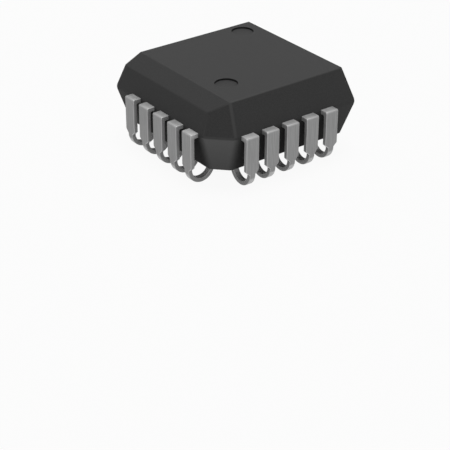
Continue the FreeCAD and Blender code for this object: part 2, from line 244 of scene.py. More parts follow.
class LeadSettings(bpy.types.PropertyGroup):
    reach: measured("Reach", "Outer face of the leads from the middle", lead_high.x)
    top: measured("Shoulder height", "Top of the leads' shoulders", lead_high.z)
    inner_end: measured("Inner end", "Inner end of the leads from the middle", lead_low.x)
    shoulder_width: measured("Shoulder width", "Leads above the taper", lead_high.y - lead_low.y)
    pitch: length("Pitch", "Distance between neighbouring leads", 1.27)
    thickness: length("Thickness", "Lead strip", 0.23)
    foot_width: length("Foot width", "Lead along its J hook", 0.35)
    taper_height: length("Taper height", "Height over which the lead narrows", 0.21)
    hook_radius: length("Hook radius", "Outer radius of the J hook", 0.81)
    bend_radius: length("Bend radius", "Outer radius of the bend at the shoulder", 0.08)
    inner_bend: length("Inner bend", "Setback of the rounding under the shoulder", 0.05)
    anchor_length: length("Anchor", "Straight length of the lead inside the body", 0.45)
    finger_width: length("Finger width", "Inner end of the lead, where its wire lands", 0.34)
    finger_pitch: length("Finger pitch", "Distance between neighbouring inner ends", 0.62)
    edge_round: length("Edge rounding", "Rounding along the edges of the strip", 0.03)
    tin: colour("Tin", "Matte tin plating", (0.34, 0.34, 0.34, 1))
    tin_dark: colour("Tin, dark", "Darker streaks of the plating", (0.277, 0.277, 0.277, 1))
    # Painted highlight on the edges and the shoulders' bends
    tin_bright: colour("Tin, bright", "Burnished edges of the plating", (0.46, 0.46, 0.46, 1))
    # Painted sheen on the shoulders beside the cut and on the hooks' outsides
    tin_scuffed: colour("Tin, scuffed", "Scuffed plating", (0.52, 0.52, 0.52, 1))
    # Painted glint on the taper's slanted sides
    tin_sheared: colour("Tin, sheared", "Bright cut faces of the taper", (0.6, 0.6, 0.6, 1))
    # Painted shade on the sides of the hooks
    tin_dull: colour("Tin, dull", "Dirt on the sides of the hooks", (0.05, 0.05, 0.05, 1))
    # How strong the painted highlight on the bends and the painted sheen on the shoulders are, how
    # high the hooks' painted sheen reaches, and how strong the hooks' painted shade is
    bend_wear: share("Bend wear", "How far the bends over the shoulders are rubbed", 0.35)
    shoulder_scuff: share("Shoulder scuff", "How far the shoulders by the cut are scuffed", 0.6)
    scuffed_foot: length("Scuffed foot", "Height up to which each hook's outside is scuffed", 0.55)
    hook_dirt: share("Hook dirt", "How far dirt dulls the sides of the hooks", 0.25)


class InsideSettings(bpy.types.PropertyGroup):
    copper: colour("Copper", "Bare leadframe alloy", (0.62, 0.38, 0.26, 1))
    adhesive: colour("Adhesive", "Silver-filled die attach adhesive", (0.55, 0.55, 0.53, 1))
    silicon: colour("Silicon", "Silicon die", (0.2, 0.21, 0.24, 1))
    gold: colour("Gold", "Gold bond wire", (0.8, 0.58, 0.22, 1))


class StageSettings(bpy.types.PropertyGroup):
    camera_place: place("Camera", "Place of the camera", (52.3936, -39.7463, 32.8531))
    azimuth: angle("Azimuth", "Turn of the camera round the part", 53.2319)
    elevation: angle("Elevation", "Tilt of the camera above the horizon", 30.0509)
    roll: angle("Roll", "Turn of the camera about its own axis", 0.1170)
    lens: bpy.props.FloatProperty(
        name="Lens", description="Focal length", default=110.403, unit="CAMERA"
    )
    floor_radius: length("Floor", "Radius of the round floor", 900)
    floor: colour("Floor colour", "Matte floor", (0.6, 0.6, 0.6, 1))
    lift: share("Floor lift", "How far the camera sees the floor as plain white", 0.93)
    sky: power("Sky", "Strength of the plain sky", 0.41)
    lamp_size: length("Lamp size", "Side of each square lamp", 200)
    key: power("Key", "Power of the lamp overhead", 0.72)
    key_place: place("Key place", "Place of the lamp overhead", (-43, 43, 345))
    fill: power("Fill", "Power of the lamp in front", 0.24)
    fill_place: place("Fill place", "Place of the lamp in front", (320, -160, 70))


# Meshes


def read_sizes(group):
    """The lengths of a group of settings, in millimetres, and its shares."""
    sizes = {}
    for item in group.bl_rna.properties:
        value = getattr(group, item.identifier)
        if isinstance(value, (float, Vector)):
            sizes[item.identifier] = value / MM if item.unit == "LENGTH" else value
    return sizes


def new_mesh():
    """An empty bmesh with room for each edge's share of rounding and the materials' marks."""
    bm = bmesh.new()
    bm.edges.layers.float.new(EDGE_SHARE)
    bm.verts.layers.float.new(HIGHLIGHT_MARK)
    bm.verts.layers.float.new(SHEEN_MARK)
    bm.faces.layers.float.new(SHADE_MARK)
    bm.faces.layers.float.new(GLINT_MARK)
    return bm


def grown_parts(result, kind):
    return [item for item in result["geom"] if isinstance(item, kind)]


def share_rounding(bm, setback, widest):
    """Gives each edge its own share of the widest rounding that the Bevel modifier makes."""
    shares = bm.edges.layers.float[EDGE_SHARE]
    for edge in bm.edges:
        edge[shares] = setback(edge) / widest


def mark_points(bm, mark, verts, amount=1):
    """Marks points for a painted highlight or a painted sheen, which fades out towards the points
    beside them.
    """
    layer = bm.verts.layers.float[mark]
    for vert in verts:
        vert[layer] = amount


def ridge_middle(faces):
    """The points along the middle of rounded ridges, clear of the faces beside them."""
    rounded = set(faces)
    return {vert for face in faces for vert in face.verts if rounded.issuperset(vert.link_faces)}


def bend_middle(faces):
    """The points of the lines that run across a rounded bend."""
    rounded = set(faces)
    edges = {edge for face in faces for edge in face.edges if rounded.issuperset(edge.link_faces)}
    return {vert for edge in edges for vert in edge.verts}


def round_shared(bm, widest):
    """Rounds every edge by its share of the widest rounding, and gives the new faces."""
    shape = bpy.data.meshes.new("shape")
    bm.to_mesh(shape)

    # Of two empty slots, the modifier gives the second to the faces it makes
    shape.materials.append(None)
    shape.materials.append(None)
    carrier = bpy.data.objects.new("carrier", shape)
    bpy.context.scene.collection.objects.link(carrier)
    rounding = carrier.modifiers.new("Rounding", "BEVEL")
    rounding.limit_method = "WEIGHT"
    rounding.width = widest
    rounding.segments = RIDGE_STEPS
    rounding.use_clamp_overlap = False
    rounding.material = 1
    bm.clear()
    bm.from_object(carrier, bpy.context.evaluated_depsgraph_get())
    bpy.data.objects.remove(carrier)
    bpy.data.meshes.remove(shape)
    bm.normal_update()
    return take_marked(bm)


def take_marked(bm):
    """Gives the faces in the second material slot, and puts them back in the first."""
    taken = [face for face in bm.faces if face.material_index == 1]
    for face in taken:
        face.material_index = 0
    return taken


def round_edges(bm, edges, setback, steps):
    """Rounds some edges and gives the new faces."""
    rounded = bmesh.ops.bevel(
        bm,
        geom=edges,
        offset=setback,
        offset_type="OFFSET",
        segments=steps,
        profile=0.5,
        affect="EDGES",
        clamp_overlap=False,
        material=-1,
    )
    return rounded["faces"]


def finish_mesh(bm, name, material):
    """Makes an object of a bmesh shaped in millimetres, shaded softly over its rounded edges."""
    bmesh.ops.recalc_face_normals(bm, faces=bm.faces[:])
    bmesh.ops.scale(bm, vec=(MM, MM, MM), verts=bm.verts[:])
    mesh = bpy.data.meshes.new(name)
    bm.to_mesh(mesh)
    bm.free()
    mesh.shade_smooth()
    mesh.set_sharp_from_angle(angle=SHARP)
    mesh.materials.append(material)
    piece = bpy.data.objects.new(name, mesh)
    bpy.context.scene.collection.objects.link(piece)
    shading = piece.modifiers.new("Shading", "WEIGHTED_NORMAL")
    shading.keep_sharp = True
    return piece


def hand_over(piece, node):
    """The piece stands for a CAD node, which it hides, and rides on the part."""
    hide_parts(node)
    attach(piece, "root")


# Materials


def add_node(tree, kind, **values):
    node = tree.nodes.new(kind)
    for name, value in values.items():
        setattr(node, name, value)
    return node


def set_inputs(node, **values):
    """Sets constant values on a node's own sockets, with _ for the spaces in their names."""
    for name, value in values.items():
        node.inputs[name.replace("_", " ")].default_value = value


def ramp(tree, value, low, high, to_low=0.0, to_high=1.0, kind="SMOOTHSTEP"):
    """A value that goes from one level to another as its input goes from low to high."""
    node = add_node(tree, "ShaderNodeMapRange", interpolation_type=kind)
    set_inputs(node, From_Min=low, From_Max=high, To_Min=to_low, To_Max=to_high)
    tree.links.new(value, node.inputs["Value"])
    return node.outputs["Result"]


def combine(tree, operation, first, second=None):
    node = add_node(tree, "ShaderNodeMath", operation=operation)
    tree.links.new(first, node.inputs[0])
    if second:
        tree.links.new(second, node.inputs[1])
    return node.outputs["Value"]


def mix(tree, kind, mask, first, second):
    """A colour or a value that gives way to another where the mask is 1."""
    node = add_node(tree, "ShaderNodeMix", data_type=kind)
    start, end, outcome = MIX_SOCKETS[kind]
    tree.links.new(mask, node.inputs[0])
    tree.links.new(first, node.inputs[start])
    tree.links.new(second, node.inputs[end])
    return node.outputs[outcome]


def new_group(name, inputs, outputs):
    """An empty shader node group with its named sockets."""
    tree = bpy.data.node_groups.new(name, "ShaderNodeTree")
    for label, kind, default in inputs:
        socket = tree.interface.new_socket(name=label, in_out="INPUT", socket_type=kind)
        if default is not None:
            socket.default_value = default
    for label, kind in outputs:
        tree.interface.new_socket(name=label, in_out="OUTPUT", socket_type=kind)
    return tree, tree.nodes.new("NodeGroupInput"), tree.nodes.new("NodeGroupOutput")


def grain_group():
    """Fine grains of two colours, with a matching height and a roughness that follows them."""
    ready = bpy.data.node_groups.get("Fine grain")
    if ready:
        return ready
    tree, inside, outside = new_group(
        "Fine grain",
        [
            ("Vector", "NodeSocketVector", None),
            ("Scale", "NodeSocketFloat", 1000.0),
            ("Dark", "NodeSocketColor", None),
            ("Light", "NodeSocketColor", None),
            ("Rough low", "NodeSocketFloat", 0.5),
            ("Rough high", "NodeSocketFloat", 0.7),
        ],
        [
            ("Color", "NodeSocketColor"),
            ("Roughness", "NodeSocketFloat"),
            ("Height", "NodeSocketFloat"),
        ],
    )
    noise = add_node(tree, "ShaderNodeTexNoise", noise_dimensions="3D")
    set_inputs(noise, Detail=NOISE_DETAIL, Roughness=NOISE_ROUGHNESS)
    link, given = tree.links.new, inside.outputs
    link(given["Vector"], noise.inputs["Vector"])
    link(given["Scale"], noise.inputs["Scale"])
    spread = ramp(tree, noise.outputs["Fac"], NOISE_DARK, NOISE_LIGHT)
    tint = mix(tree, "RGBA", spread, given["Dark"], given["Light"])
    rough = mix(tree, "FLOAT", spread, given["Rough low"], given["Rough high"])
    link(tint, outside.inputs["Color"])
    link(rough, outside.inputs["Roughness"])
    link(noise.outputs["Fac"], outside.inputs["Height"])
    return tree


def patch_group():
    """A finish that gives way to another colour and roughness where a mask is 1."""
    ready = bpy.data.node_groups.get("Patch")
    if ready:
        return ready
    tree, inside, outside = new_group(
        "Patch",
        [
            ("Mask", "NodeSocketFloat", 0.0),
            ("Color", "NodeSocketColor", None),
            ("Roughness", "NodeSocketFloat", 0.5),
            ("Patch color", "NodeSocketColor", None),
            ("Patch roughness", "NodeSocketFloat", 0.5),
        ],
        [("Color", "NodeSocketColor"), ("Roughness", "NodeSocketFloat")],
    )
    given = inside.outputs
    tint = mix(tree, "RGBA", given["Mask"], given["Color"], given["Patch color"])
    rough = mix(tree, "FLOAT", given["Mask"], given["Roughness"], given["Patch roughness"])
    tree.links.new(tint, outside.inputs["Color"])
    tree.links.new(rough, outside.inputs["Roughness"])
    return tree


def lay_grain(tree, where, scale, dark, light, rough):
    """Lays down a grained finish, whose roughness goes from low to high with its grains."""
    grain = add_node(tree, "ShaderNodeGroup", node_tree=grain_group())
    low, high = rough
    set_inputs(grain, Scale=scale, Dark=dark, Light=light, Rough_low=low, Rough_high=high)
    tree.links.new(where, grain.inputs["Vector"])
    return grain


def lay_patch(tree, under, mask, tint, roughness):
    """Lays another colour and roughness over a finish where the mask is 1."""
    patch = add_node(tree, "ShaderNodeGroup", node_tree=patch_group())
    set_inputs(patch, Patch_color=tint, Patch_roughness=roughness)
    link = tree.links.new
    link(mask, patch.inputs["Mask"])
    link(under.outputs["Color"], patch.inputs["Color"])
    link(under.outputs["Roughness"], patch.inputs["Roughness"])
    return patch


def marked(tree, name):
    """The mask that a mesh attribute gives."""
    return add_node(tree, "ShaderNodeAttribute", attribute_name=name).outputs["Fac"]


def show_finish(tree, shader, finish):
    tree.links.new(finish.outputs["Color"], shader.inputs["Base Color"])
    tree.links.new(finish.outputs["Roughness"], shader.inputs["Roughness"])


def new_material(name):
    material = bpy.data.materials.new(name)
    material.use_nodes = True
    return material, material.node_tree, material.node_tree.nodes["Principled BSDF"]


def add_bump(tree, shader, height, millimetres):
    bump = add_node(tree, "ShaderNodeBump")
    set_inputs(bump, Strength=BUMP_STRENGTH, Distance=millimetres * MM)
    tree.links.new(height, bump.inputs["Height"])
    tree.links.new(bump.outputs["Normal"], shader.inputs["Normal"])


def cut_light_mask(tree, where, settings):
    """A mask of painted light on the lower face of the pin-1 cut, weaker towards the underside."""
    # Turned so that X runs out to the pin-1 corner and Y across the cut
    turn = add_node(tree, "ShaderNodeMapping")
    set_inputs(turn, Rotation=(0, 0, math.radians(45)))
    split = add_node(tree, "ShaderNodeSeparateXYZ")
    tree.links.new(where, turn.inputs["Vector"])
    tree.links.new(turn.outputs["Vector"], split.inputs["Vector"])
    outward, across, height = (split.outputs[axis] for axis in "XYZ")

    # Half of the cut's width grows from the underside to the parting plane
    half_low = settings.pin_cut_bottom / math.sqrt(2)
    half_high = settings.pin_cut / math.sqrt(2)
    half = ramp(tree, height, settings.bottom, settings.parting, half_low, half_high, "LINEAR")
    inside = combine(tree, "SUBTRACT", half, combine(tree, "ABSOLUTE", across))
    soft = settings.lower_cut_round
    seam = settings.parting_round * CUT_LIGHT_SEAM
    corner = settings.width / math.sqrt(2)
    masks = (
        ramp(tree, height, settings.parting + seam, settings.parting - seam),
        ramp(tree, height, settings.bottom, settings.parting, settings.cut_light_fade, 1, "LINEAR"),
        ramp(tree, outward, corner * CUT_LIGHT_START, corner * CUT_LIGHT_FULL),
    )
    lit_cut = ramp(tree, inside, -soft, soft)
    for mask in masks:
        lit_cut = combine(tree, "MULTIPLY", lit_cut, mask)
    return lit_cut


def row_shade_mask(tree, where, settings):
    """A soft mask of painted shade on the body's lower sides, behind the rows of leads."""
    split = add_node(tree, "ShaderNodeSeparateXYZ")
    tree.links.new(where, split.inputs["Vector"])
    sides = [combine(tree, "ABSOLUTE", split.outputs[axis]) for axis in "XY"]
    across = combine(tree, "MINIMUM", *sides)
    height = split.outputs["Z"]
    half, soft = settings.shaded_row / 2, settings.shade_edge
    beside = ramp(tree, across, half + soft, half - soft, 0, settings.dirt)
    over = ramp(tree, height, settings.bottom, settings.bottom + soft)
    under = ramp(tree, height, settings.parting, settings.parting - soft)
    return combine(tree, "MULTIPLY", beside, combine(tree, "MULTIPLY", over, under))


def compound_material(settings):
    """Matte black moulding compound, with painted light on the pin-1 cut's lower face, painted
    highlights on the ridges, and painted shade in the recesses and behind the leads.
    """
    material, tree, shader = new_material("moulding_compound")
    where = add_node(tree, "ShaderNodeTexCoord").outputs["Object"]
    dark, light = settings.compound, settings.compound_light
    grain = lay_grain(tree, where, COMPOUND_GRAINS, dark, light, ROUGH_COMPOUND)
    lit_cut, shaded_rows = cut_light_mask(tree, where, settings), row_shade_mask(tree, where, settings)
    # Painted light on the cut's lower face, painted highlights on the ridges, and painted shade in
    # the recesses and behind the leads
    finish = lay_patch(tree, grain, lit_cut, settings.cut_painted_light, ROUGH_CUT_LIGHT)
    finish = lay_patch(tree, finish, marked(tree, HIGHLIGHT_MARK), settings.ridge_highlight_colour, ROUGH_RIDGE_HIGHLIGHT)
    finish = lay_patch(tree, finish, marked(tree, SHADE_MARK), settings.painted_shade, ROUGH_SHADE)
    finish = lay_patch(tree, finish, shaded_rows, settings.painted_shade, ROUGH_SHADE)
    show_finish(tree, shader, finish)
    set_inputs(shader, Specular_IOR_Level=COMPOUND_SHINE)
    add_bump(tree, shader, grain.outputs["Height"], COMPOUND_BUMP)
    return material


def tin_material(settings):
    """Matte tin plating, streaked along the strip, with painted highlights, sheen and glints, and
    painted shade on the hooks' sides.
    """
    material, tree, shader = new_material("tinned_lead")
    strip = add_node(tree, "ShaderNodeUVMap", uv_map="Strip")
    stretch = add_node(tree, "ShaderNodeMapping")
    set_inputs(stretch, Scale=TIN_STREAKS)
    tree.links.new(strip.outputs["UV"], stretch.inputs["Vector"])
    where = stretch.outputs["Vector"]
    streaks = lay_grain(tree, where, 1.0, settings.tin_dark, settings.tin, ROUGH_TIN)
    # Painted sheen, painted highlights, painted glints and painted shade over the streaked plating
    finish = lay_patch(tree, streaks, marked(tree, SHEEN_MARK), settings.tin_scuffed, ROUGH_SHEEN)
    finish = lay_patch(tree, finish, marked(tree, HIGHLIGHT_MARK), settings.tin_bright, ROUGH_HIGHLIGHT)
    finish = lay_patch(tree, finish, marked(tree, GLINT_MARK), settings.tin_sheared, ROUGH_GLINT)
    finish = lay_patch(tree, finish, marked(tree, SHADE_MARK), settings.tin_dull, ROUGH_TIN_SHADE)
    show_finish(tree, shader, finish)
    set_inputs(shader, Metallic=TIN_METAL)
    add_bump(tree, shader, streaks.outputs["Height"], TIN_BUMP)
    return material


def hidden_finish(name, tint, surface):
    """A finish with a fine grain, for a piece that the compound hides."""
    metallic, roughness = surface
    material, tree, shader = new_material(name)
    where = add_node(tree, "ShaderNodeTexCoord").outputs["Object"]
    dark = [value * HIDDEN_DARK for value in tint[:3]] + [1]
    rough = (roughness - HIDDEN_SPREAD, roughness + HIDDEN_SPREAD)
    show_finish(tree, shader, lay_grain(tree, where, METAL_GRAINS, dark, tint, rough))
    set_inputs(shader, Metallic=metallic)
    return material


# Moulded body


def slice_off(bm, point, normal):
    """Cuts away what lies outside a plane and closes the cut."""
    geometry = bm.verts[:] + bm.edges[:] + bm.faces[:]
    cut = bmesh.ops.bisect_plane(
        bm, geom=geometry, plane_co=point, plane_no=normal, clear_outer=True, dist=NEAR
    )
    edges = [item for item in cut["geom_cut"] if isinstance(item, bmesh.types.BMEdge)]
    bmesh.ops.contextual_create(bm, geom=edges)


def spans(item, low, high):
    """Whether an edge or face runs from one height to another."""
    heights = [vert.co.z for vert in item.verts]
    return abs(min(heights) - low) < NEAR and abs(max(heights) - high) < NEAR


def cast_half(sizes, end_height, inset, end_cut):
    """Half of the body between the parting plane and an end face, with its pin-1 corner cut."""
    bm = new_mesh()
    half = sizes["width"] / 2
    end_half = half - inset
    rise = end_height - sizes["parting"]
    level = Matrix.Translation((0, 0, sizes["parting"]))
    square = bmesh.ops.create_grid(bm, x_segments=1, y_segments=1, size=half, matrix=level)
    base = square["verts"][0].link_faces[0]
    grown = bmesh.ops.extrude_face_region(bm, geom=[base, *base.edges, *base.verts])
    corners = grown_parts(grown, bmesh.types.BMVert)
    bmesh.ops.translate(bm, vec=(0, 0, rise), verts=corners)
    bmesh.ops.scale(bm, vec=(end_half / half, end_half / half, 1), verts=corners)

    # The cut's plane leans in from the parting plane to the end face, as the sides do
    corner = Vector((1, -1, 0)).normalized()
    reach = (half * 2 - sizes["pin_cut"]) / math.sqrt(2)
    end_reach = (end_half * 2 - end_cut) / math.sqrt(2)
    normal = corner * abs(rise) + Vector((0, 0, math.copysign(reach - end_reach, rise)))
    slice_off(bm, corner * reach + Vector((0, 0, sizes["parting"])), normal.normalized())

    # The other half closes the body at the parting plane
    between = [face for face in bm.faces if spans(face, sizes["parting"], sizes["parting"])]
    bmesh.ops.delete(bm, geom=between, context="FACES_ONLY")
    return bm


def join_halves(sizes):
    """The closed body: the upper half with the pin-1 side's bevel, and the lower half."""
    parting, top, bottom = sizes["parting"], sizes["top"], sizes["bottom"]
    upper = cast_half(sizes, top, sizes["top_inset"], sizes["pin_cut_top"])
    half_top = sizes["width"] / 2 - sizes["top_inset"]
    run, drop = sizes["bevel_run"], sizes["bevel_drop"]
    spread = run + sizes["top_inset"] * drop / (top - parting)
    slice_off(upper, Vector((0, run - half_top, top)), Vector((0, -drop, spread)).normalized())

    lower = cast_half(sizes, bottom, sizes["bottom_inset"], sizes["pin_cut_bottom"])
    carried = bpy.data.meshes.new("lower_half")
    lower.to_mesh(carried)
    lower.free()
    upper.from_mesh(carried)
    bpy.data.meshes.remove(carried)
    bmesh.ops.remove_doubles(upper, verts=upper.verts[:], dist=NEAR)
    bmesh.ops.recalc_face_normals(upper, faces=upper.faces[:])
    return upper


def faces_pin_corner(face):
    return face.normal.x > FACING and face.normal.y < -FACING


def body_setback(edge, sizes):
    """How far the rounding of a body's edge runs in over the faces beside it."""
    parting = sizes["parting"]
    beside_cut = any(faces_pin_corner(face) for face in edge.link_faces)
    if spans(edge, parting, parting):
        return sizes["parting_round"]
    if beside_cut and spans(edge, sizes["bottom"], parting):
        return sizes["lower_cut_round"]
    if beside_cut and min(vert.co.z for vert in edge.verts) < parting + NEAR:
        return sizes["upper_cut_round"]
    return sizes["ridge_round"]


def turns_from_cut(face):
    """Whether a rounded face looks out between the pin-1 cut and the +X side."""
    turned = math.degrees(math.atan2(face.normal.y, face.normal.x))
    return CUT_TURN_LOW < turned < CUT_TURN_HIGH


def highlight_ridges(bm, rounded, sizes):
    """Marks a faint painted highlight on the upper ridges, and a stronger one on two by the pin-1
    cut.
    """
    parting = sizes["parting"]
    upper, beside_cut, over_lit_cut = set(), set(), set()
    for face in rounded:
        height = face.calc_center_median().z
        if height > parting + sizes["parting_round"]:
            upper.add(face)
            if turns_from_cut(face):
                beside_cut.add(face)
        elif height > parting and faces_pin_corner(face):
            over_lit_cut.add(face)
    middle = ridge_middle(rounded)
    amounts = (sizes["ridge_wear"], 1, sizes["parting_wear"])
    for faces, amount in zip((upper, beside_cut, over_lit_cut), amounts):
        verts = [vert for vert in middle if faces.intersection(vert.link_faces)]
        mark_points(bm, HIGHLIGHT_MARK, verts, amount)


def sink_recess(bm, ring, centre, sizes):
    """Draws the wall and floor of a recess down from the ring in the top face."""
    wall = bmesh.ops.extrude_edge_only(bm, edges=ring)
    low = grown_parts(wall, bmesh.types.BMVert)
    # The recess's wall gets painted shade, its floor none
    painted_shade = bm.faces.layers.float[SHADE_MARK]
    for face in grown_parts(wall, bmesh.types.BMFace):
        face[painted_shade] = 1
    narrow = 1 - 2 * sizes["recess_draft"] / sizes["recess_width"]
    bmesh.ops.translate(bm, vec=(0, 0, -sizes["recess_depth"]), verts=low)
    bmesh.ops.scale(
        bm,
        vec=(narrow, narrow, 1),
        space=Matrix.Translation((-centre.x, -centre.y, 0)),
        verts=low,
    )
    foot = [edge for edge in grown_parts(wall, bmesh.types.BMEdge) if set(edge.verts) <= set(low)]
    floor = bmesh.ops.contextual_create(bm, geom=foot)["faces"][0]
    floor[painted_shade] = 0


def sink_recesses(bm, sizes):
    """Opens the top face round two circles and sinks a recess in each."""
    shares = bm.edges.layers.float[EDGE_SHARE]
    top, radius = sizes["top"], sizes["recess_width"] / 2
    centres = (sizes["near_recess"], sizes["far_recess"])
    face = next(face for face in bm.faces if spans(face, top, top))
    outline = face.edges[:]
    bmesh.ops.delete(bm, geom=[face], context="FACES_ONLY")
    rings = []
    for centre in centres:
        where = Matrix.Translation((centre.x, centre.y, top))
        circle = bmesh.ops.create_circle(bm, segments=RECESS_STEPS, radius=radius, matrix=where)
        ring = list(dict.fromkeys(edge for vert in circle["verts"] for edge in vert.link_edges))
        for edge in ring:
            edge[shares] = sizes["rim_round"] / sizes["lower_cut_round"]
        rings.append(ring)
        outline += ring
    up = (0, 0, 1)
    bmesh.ops.triangle_fill(bm, edges=outline, use_beauty=True, use_dissolve=True, normal=up)
    for ring, centre in zip(rings, centres):
        sink_recess(bm, ring, centre, sizes)


class CHIP_OT_mould_body(bpy.types.Operator):
    """Mould the body of the chip carrier"""

    bl_idname = "chip.mould_body"
    bl_label = "Mould the body"

    def execute(self, context):
        settings = context.scene.chip_body
        sizes = read_sizes(settings)
        widest = sizes["lower_cut_round"]
        bm = join_halves(sizes)
        share_rounding(bm, lambda edge: body_setback(edge, sizes), widest)
        sink_recesses(bm, sizes)
        rounded = round_shared(bm, widest)
        highlight_ridges(bm, rounded, sizes)
        piece = finish_mesh(bm, "body_moulding", compound_material(settings))
        hand_over(piece, "moulded_body")
        return {"FINISHED"}


# Leads


def push_end(bm, end, move, widen=1, shift=0):
    """Extrudes the strip's end face, moves it and widens it about the strip's own middle."""
    grown = bmesh.ops.extrude_face_region(bm, geom=[end, *end.edges, *end.verts])
    verts = grown_parts(grown, bmesh.types.BMVert)
    bmesh.ops.scale(
        bm, vec=(1, widen, 1), space=Matrix.Translation((0, -shift, 0)), verts=verts
    )
    bmesh.ops.translate(bm, vec=move, verts=verts)
    return grown_parts(grown, bmesh.types.BMFace)[0]


def face_below(bm, face):
    """The face under the last block of the strip, from which the strip goes on down."""
    bm.normal_update()
    edge = min(face.edges, key=lambda item: sum(vert.co.z for vert in item.verts))
    return next(item for item in edge.link_faces if item is not face)


def bend_strip(sizes, position):
    """A lead at the middle of the +X side, in millimetres: finger, anchor, shoulder and J hook."""
    thick, top, reach = sizes["thickness"], sizes["top"], sizes["reach"]
    hook = sizes["hook_radius"]
    shift = (sizes["finger_pitch"] - sizes["pitch"]) * position
    anchor = sizes["body_half"] - sizes["anchor_length"]
    widen = sizes["shoulder_width"] / sizes["finger_width"]
    narrow = sizes["foot_width"] / sizes["shoulder_width"]
    waist = hook + sizes["taper_height"]
    start = (
        Matrix.Translation((sizes["inner_end"], shift, top - thick / 2))
        @ Matrix.Rotation(math.radians(90), 4, "Y")
        @ Matrix.Diagonal((thick, sizes["finger_width"], 1, 1))
    )

    bm = new_mesh()
    square = bmesh.ops.create_grid(bm, x_segments=1, y_segments=1, size=0.5, matrix=start)
    end = square["verts"][0].link_faces[0]
    end = push_end(bm, end, (anchor - sizes["inner_end"], -shift, 0), widen, shift)
    end = push_end(bm, end, (reach - thick - anchor, 0, 0))
    end = face_below(bm, push_end(bm, end, (thick, 0, 0)))
    end = push_end(bm, end, (0, 0, waist - top + thick))
    end = push_end(bm, end, (0, 0, hook - waist), narrow)
    bmesh.ops.spin(
        bm,
        geom=[end, *end.edges, *end.verts],
        cent=(reach - hook, 0, hook),
        axis=(0, 1, 0),
        angle=math.radians(180),
        steps=HOOK_STEPS,
        use_merge=False,
        use_duplicate=False,
    )
    bmesh.ops.recalc_face_normals(bm, faces=bm.faces[:])
    return bm


def crosses_bend(edge):
    """Whether an edge runs across the strip at a square bend between its ends."""
    upright = [abs(face.normal.z) for face in edge.link_faces]
    flat = all(abs(face.normal.y) < NEAR for face in edge.link_faces)
    return flat and min(upright) < NEAR and max(upright) > 1 - NEAR


def highlight_bend(bm, bent, sizes):
    """Marks a painted highlight on the rounded bend over the shoulder, from where it starts in the
    top.
    """
    start = {vert for face in bent for vert in face.verts if vert.co.z > sizes["top"] - NEAR}
    mark_points(bm, HIGHLIGHT_MARK, start | bend_middle(bent), sizes["bend_wear"])


def sheen_shoulder(bm, sizes):
    """Marks a painted sheen over the whole top of the shoulder."""
    inner = sizes["reach"] - sizes["thickness"] - NEAR
    over = sizes["top"] - NEAR
    top = [vert for vert in bm.verts if vert.co.x > inner and vert.co.z > over]
    mark_points(bm, SHEEN_MARK, top, sizes["shoulder_scuff"])


def mark_sides(bm, sizes):
    """Marks a painted glint on the taper's slanted sides, and painted shade on the hook's sides.
    """
    glint = bm.faces.layers.float[GLINT_MARK]
    painted_shade = bm.faces.layers.float[SHADE_MARK]
    hook = sizes["hook_radius"]
    sides = [face for face in bm.faces if abs(face.normal.y) > FACING]
    for face in sides:
        height = face.calc_center_median().z
        if height < hook:
            face[painted_shade] = sizes["hook_dirt"]
        elif height < hook + sizes["taper_height"]:
            face[glint] = 1


def sheen_foot(bm, sizes):
    """Marks a painted sheen on the outside of the J hook, near where it rests."""
    hook = sizes["hook_radius"]
    centre = Vector((sizes["reach"] - hook, hook))
    low = [vert for vert in bm.verts if vert.co.z < sizes["scuffed_foot"]]
    outside = [vert for vert in low if (vert.co.xz - centre).length > hook - NEAR]
    mark_points(bm, SHEEN_MARK, outside)


def soften_strip(bm, sizes, beside_cut):
    """Rounds the shoulder's bend and the strip's edges, and marks the painted highlights, sheen,
    glints and shade.
    """
    bends = [edge for edge in bm.edges if crosses_bend(edge)]
    outer = [edge for edge in bends if edge.is_convex]
    inner = [edge for edge in bends if not edge.is_convex]
    highlight_bend(bm, round_edges(bm, outer, sizes["bend_radius"], BEND_STEPS), sizes)
    if beside_cut:
        sheen_shoulder(bm, sizes)
    round_edges(bm, inner, sizes["inner_bend"], EDGE_STEPS)
    corners = [edge for edge in bm.edges if edge.calc_face_angle(0) > CORNER]

    # The second slot tells the rounded faces apart until close points are merged
    for face in round_edges(bm, corners, sizes["edge_round"], EDGE_STEPS):
        face.material_index = 1
    bmesh.ops.remove_doubles(bm, verts=bm.verts[:], dist=NEAR)
    # Painted highlights along the middle of the strip's rounded edges
    mark_points(bm, HIGHLIGHT_MARK, ridge_middle(take_marked(bm)))
    bm.normal_update()
    mark_sides(bm, sizes)
    sheen_foot(bm, sizes)


def run_along(sizes, point):
    """How far along the strip's middle line a point lies."""
    hook = sizes["hook_radius"]
    hook_x = sizes["reach"] - hook
    fall = point.x + sizes["top"] - point.z
    if point.z >= hook:
        return fall
    turned = math.atan2(hook - point.z, point.x - hook_x)
    return sizes["reach"] + sizes["top"] - hook + (hook - sizes["thickness"] / 2) * turned


def map_strip(bm, sizes, number):
    """Lays the strip out flat: across it on U and along it on V, apart from the other leads."""
    layer = bm.loops.layers.uv.new("Strip")
    for face in bm.faces:
        for loop in face.loops:
            point = loop.vert.co
            across = point.y + point.z * STREAK_SLANT + number * STREAK_STRIDE
            loop[layer].uv = (across, run_along(sizes, point))


def lead_spot(index):
    """The side that a lead stands on, counted from +X, and its place on it from the middle."""
    middle = LEADS_PER_SIDE // 2
    side, position = divmod(index + middle, LEADS_PER_SIDE)
    return (side - 1) % SIDES, position - middle


